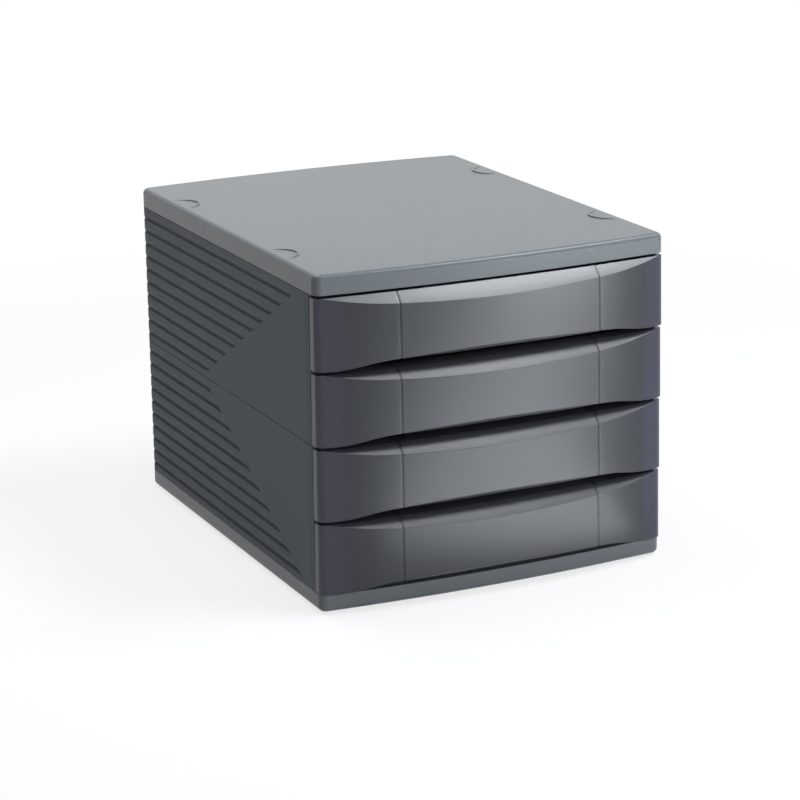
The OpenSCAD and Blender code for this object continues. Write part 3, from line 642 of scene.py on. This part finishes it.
def add_camera(studio):
    """Camera at the place and angle of the picture"""
    data = bpy.data.cameras.new("Studio camera")
    data.lens = studio.focal_length
    data.sensor_width = SENSOR_WIDTH
    data.clip_start, data.clip_end = CLIP_START, CLIP_END
    camera = bpy.data.objects.new("Studio camera", data)
    bpy.context.scene.collection.objects.link(camera)
    yaw, pitch, roll = studio.camera_yaw, studio.camera_pitch, studio.camera_roll
    ahead = Vector((math.sin(yaw) * math.cos(pitch), math.cos(yaw) * math.cos(pitch), -math.sin(pitch)))
    right = Vector((math.cos(yaw), -math.sin(yaw), 0))
    up = right.cross(ahead)
    turned_right = right * math.cos(roll) + up * math.sin(roll)
    turned_up = up * math.cos(roll) - right * math.sin(roll)
    turn = Matrix((turned_right, turned_up, -ahead)).transposed()
    camera.matrix_world = Matrix.Translation(studio.camera_place) @ turn.to_4x4()
    bpy.context.scene.camera = camera


def add_softbox(name, studio, softbox, power, target):
    """Rectangular lamp at an angle round a point, which it looks at"""
    data = bpy.data.lights.new(name, "AREA")
    data.shape = "RECTANGLE"
    data.size, data.size_y = softbox.sides
    data.energy = power
    data.color = studio.lamp_colour
    turn, rise = math.radians(softbox.azimuth), math.radians(softbox.elevation)
    towards = Vector((math.sin(turn) * math.cos(rise), -math.cos(turn) * math.cos(rise), math.sin(rise)))
    lamp = bpy.data.objects.new(name, data)
    lamp.location = target + softbox.distance * towards
    lamp.rotation_euler = (-towards).to_track_quat("-Z", "Y").to_euler()
    lamp.visible_camera = False
    bpy.context.scene.collection.objects.link(lamp)
    return lamp


def seen_directly(tree, x, y):
    """1 for what the camera, a gloss or a clear piece sees, and 0 for what lights the object"""
    path = add(tree, "ShaderNodeLightPath", x, y)
    either = add(tree, "ShaderNodeMath", x + 200, y, operation="MAXIMUM")
    any_sight = add(tree, "ShaderNodeMath", x + 350, y, operation="MAXIMUM")
    link = tree.links.new
    link(path.outputs["Is Camera Ray"], either.inputs[0])
    link(path.outputs["Is Glossy Ray"], either.inputs[1])
    link(either.outputs[0], any_sight.inputs[0])
    link(path.outputs["Is Transmission Ray"], any_sight.inputs[1])
    return any_sight.outputs[0]


def add_floor(studio):
    """Wide pale floor that looks white to the camera and keeps the shadow"""
    mesh = bpy.data.meshes.new("Studio floor")
    corners = [(x * FLOOR_HALF, y * FLOOR_HALF, 0) for x, y in ((-1, -1), (1, -1), (1, 1), (-1, 1))]
    mesh.from_pydata(corners, [], [(0, 1, 2, 3)])
    floor = bpy.data.objects.new("Studio floor", mesh)
    bpy.context.scene.collection.objects.link(floor)
    material, tree, shader = new_material("Studio floor paint")
    shader.inputs["Base Color"].default_value = colour4(studio.floor_colour)
    shader.inputs["Roughness"].default_value = FLOOR_ROUGHNESS
    shader.inputs["Specular IOR Level"].default_value = FLOOR_GLOSS
    seen = seen_directly(tree, -600, 300)
    place = add(tree, "ShaderNodeTexCoord", -800, 0)
    away = add(tree, "ShaderNodeVectorMath", -600, 0, operation="LENGTH")
    spread = add(tree, "ShaderNodeMapRange", -400, 0, interpolation_type="SMOOTHSTEP")
    spread.inputs["From Min"].default_value = studio.white_radius / FADE_START_DIVISOR
    spread.inputs["From Max"].default_value = studio.white_radius
    spread.inputs["To Min"].default_value = WHITE_UNDER_UNIT
    spread.inputs["To Max"].default_value = 1.0
    share = add(tree, "ShaderNodeMath", -100, 300, operation="MULTIPLY")
    white = add(tree, "ShaderNodeEmission", 0, -100)
    white.inputs["Color"].default_value = (1, 1, 1, 1)
    white.inputs["Strength"].default_value = 1.0
    blend = add(tree, "ShaderNodeMixShader", 300, 100)
    output = tree.nodes["Material Output"]
    link = tree.links.new
    link(place.outputs["Object"], away.inputs[0])
    link(away.outputs["Value"], spread.inputs["Value"])
    link(seen, share.inputs[0])
    link(spread.outputs["Result"], share.inputs[1])
    link(share.outputs[0], blend.inputs["Fac"])
    link(shader.outputs["BSDF"], blend.inputs[1])
    link(white.outputs["Emission"], blend.inputs[2])
    link(blend.outputs["Shader"], output.inputs["Surface"])
    mesh.materials.append(material)


def add_surround(studio):
    """White surround to the eye, with an even fill light on the object"""
    world = bpy.data.worlds.new("Studio surround")
    bpy.context.scene.world = world
    world.use_nodes = True
    tree = world.node_tree
    tree.nodes.clear()
    seen = seen_directly(tree, -600, 200)
    fill = add(tree, "ShaderNodeBackground", -200, 0)
    fill.inputs["Color"].default_value = (1, 1, 1, 1)
    fill.inputs["Strength"].default_value = studio.fill_light
    white = add(tree, "ShaderNodeBackground", -200, -200)
    white.inputs["Color"].default_value = (1, 1, 1, 1)
    white.inputs["Strength"].default_value = 1.0
    blend = add(tree, "ShaderNodeMixShader", 100, 0)
    output = add(tree, "ShaderNodeOutputWorld", 300, 0)
    link = tree.links.new
    link(seen, blend.inputs["Fac"])
    link(fill.outputs[0], blend.inputs[1])
    link(white.outputs[0], blend.inputs[2])
    link(blend.outputs[0], output.inputs["Surface"])


class DRAWERUNIT_OT_studio(FinishStep):
    """Set the floor, the surround, the lamps and the camera"""

    bl_idname = "drawerunit.studio"
    bl_label = "Studio"

    def execute(self, context):
        studio = context.scene.studio_settings
        context.scene.view_settings.view_transform = "Standard"
        add_floor(studio)
        add_surround(studio)
        middle = (CAD_BOX[0] + CAD_BOX[1]) / 2
        front = Vector((0, CAD_BOX[0].y, STRIP_AIM_HEIGHT))
        foot = Vector((0, CAD_BOX[0].y, PANEL_HEIGHT))
        add_softbox("Overhead softbox", studio, OVERHEAD, studio.overhead_light, middle)
        add_softbox("High front softbox", studio, HIGH_FRONT, studio.front_light, middle)
        add_softbox("Standing strip", studio, STANDING_STRIP, studio.strip_light, front)
        panel = add_softbox("Floor panel", studio, FLOOR_PANEL, studio.floor_light, foot)
        # The panel lies flat and shines upwards
        panel.rotation_euler = (math.pi, 0, math.radians(FLOOR_PANEL.azimuth))
        add_camera(studio)
        return {"FINISHED"}


class DRAWERUNIT_PT_panel(bpy.types.Panel):
    """Steps of the drawer unit's finish and their settings"""

    bl_label = "Drawer unit"
    bl_idname = "DRAWERUNIT_PT_panel"
    bl_space_type = "VIEW_3D"
    bl_region_type = "UI"
    bl_category = "Drawer unit"

    def draw(self, context):
        for _, name in GROUPS:
            group = getattr(context.scene, name)
            box = self.layout.box()
            for key in group.__annotations__:
                box.prop(group, key)
        for step in STEPS:
            self.layout.operator(step.bl_idname)


GROUPS = (
    (MouldedFinish, "moulded_finish"),
    (FrontFinish, "front_finish"),
    (RubberAndSteel, "rubber_and_steel"),
    (StudioSettings, "studio_settings"),
)
STEPS = (
    DRAWERUNIT_OT_cover, DRAWERUNIT_OT_housings, DRAWERUNIT_OT_trays, DRAWERUNIT_OT_fronts,
    DRAWERUNIT_OT_feet, DRAWERUNIT_OT_screws, DRAWERUNIT_OT_studio,
)


def register():
    for group, name in GROUPS:
        bpy.utils.register_class(group)
        setattr(bpy.types.Scene, name, PointerProperty(type=group))
    for step in (*STEPS, DRAWERUNIT_PT_panel):
        bpy.utils.register_class(step)


def unregister():
    for step in reversed((*STEPS, DRAWERUNIT_PT_panel)):
        bpy.utils.unregister_class(step)
    for group, name in reversed(GROUPS):
        delattr(bpy.types.Scene, name)
        bpy.utils.unregister_class(group)


def main():
    register()
    bpy.ops.drawerunit.cover()
    bpy.ops.drawerunit.housings()
    bpy.ops.drawerunit.trays()
    bpy.ops.drawerunit.fronts()
    bpy.ops.drawerunit.feet()
    bpy.ops.drawerunit.screws()
    bpy.ops.drawerunit.studio()


if __name__ == "__main__":
    main()
